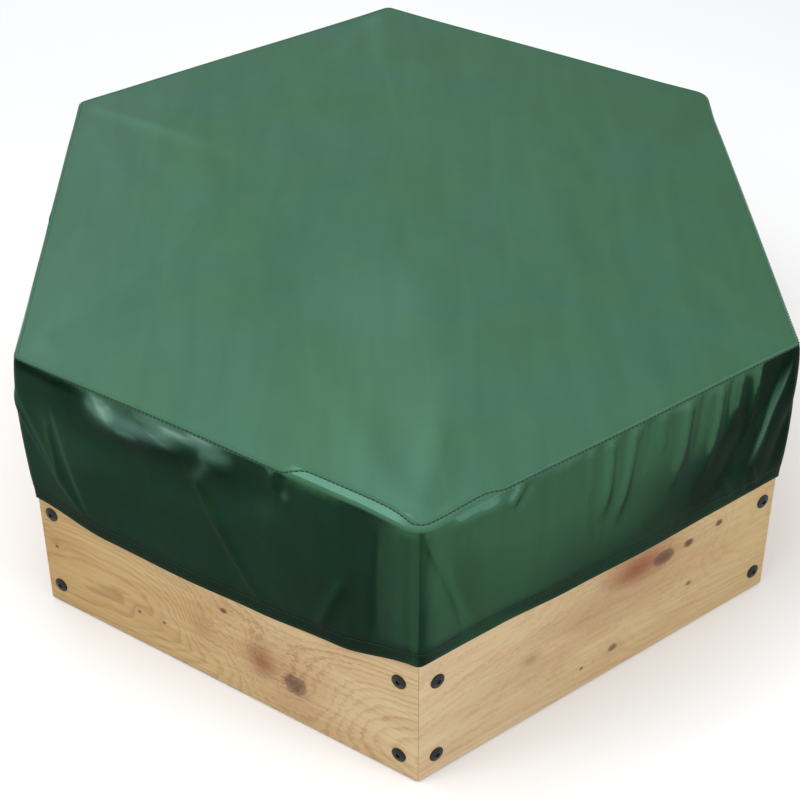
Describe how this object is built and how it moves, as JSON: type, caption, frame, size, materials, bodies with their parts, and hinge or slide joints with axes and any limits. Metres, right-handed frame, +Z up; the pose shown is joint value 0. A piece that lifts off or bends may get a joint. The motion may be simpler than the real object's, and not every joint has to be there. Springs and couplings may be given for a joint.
{
  "type": "sandbox with cover",
  "caption": "Hexagonal wooden children's sandbox of mitred boards with corner posts, a ring of seat boards, a ground liner and a fitted green fabric cover that lifts off.",
  "frame": {"origin": "on the ground, under the middle of the box", "axes": "+Z up, +Y from the front corner to the back corner, +X to the right"},
  "size_m": [0.9702, 1.4126, 0.3925],
  "materials": {
    "side_board_pine": "planed softwood board, clear oiled, light honey brown with knots",
    "post_pine": "planed softwood, unfinished",
    "seat_board_pine": "planed softwood board, clear oiled",
    "black_screw": "black coated steel",
    "liner_fabric": "black needle-punched ground fabric",
    "cover_fabric": "coated woven polyester, green, semi-gloss"
  },
  "bodies": {
    "box": {"lower_board_back_left": "side_board_pine", "lower_board_left": "side_board_pine", "lower_board_front_left": "side_board_pine", "lower_board_front_right": "side_board_pine", "lower_board_right": "side_board_pine", "lower_board_back_right": "side_board_pine", "upper_board_back_left": "side_board_pine", "upper_board_left": "side_board_pine", "upper_board_front_left": "side_board_pine", "upper_board_front_right": "side_board_pine", "upper_board_right": "side_board_pine", "upper_board_back_right": "side_board_pine", "corner_post_back": "post_pine", "corner_post_back_left": "post_pine", "corner_post_front_left": "post_pine", "corner_post_front": "post_pine", "corner_post_front_right": "post_pine", "corner_post_back_right": "post_pine", "seat_board_back_left": "seat_board_pine", "seat_board_left": "seat_board_pine", "seat_board_front_left": "seat_board_pine", "seat_board_front_right": "seat_board_pine", "seat_board_right": "seat_board_pine", "seat_board_back_right": "seat_board_pine", "side_screws_lower": "black_screw", "side_screws_upper": "black_screw", "seat_screws": "black_screw", "ground_liner": "liner_fabric"},
    "cover": {"cover_top_panel": "cover_fabric", "cover_skirt_back_left": "cover_fabric", "cover_skirt_left": "cover_fabric", "cover_skirt_front_left": "cover_fabric", "cover_skirt_front_right": "cover_fabric", "cover_skirt_right": "cover_fabric", "cover_skirt_back_right": "cover_fabric"}
  },
  "joints": [
    {"name": "cover_lift", "type": "slide", "parent": "box", "child": "cover", "axis": [0, 0, 1], "range_m": [0, 0.4]}
  ]
}
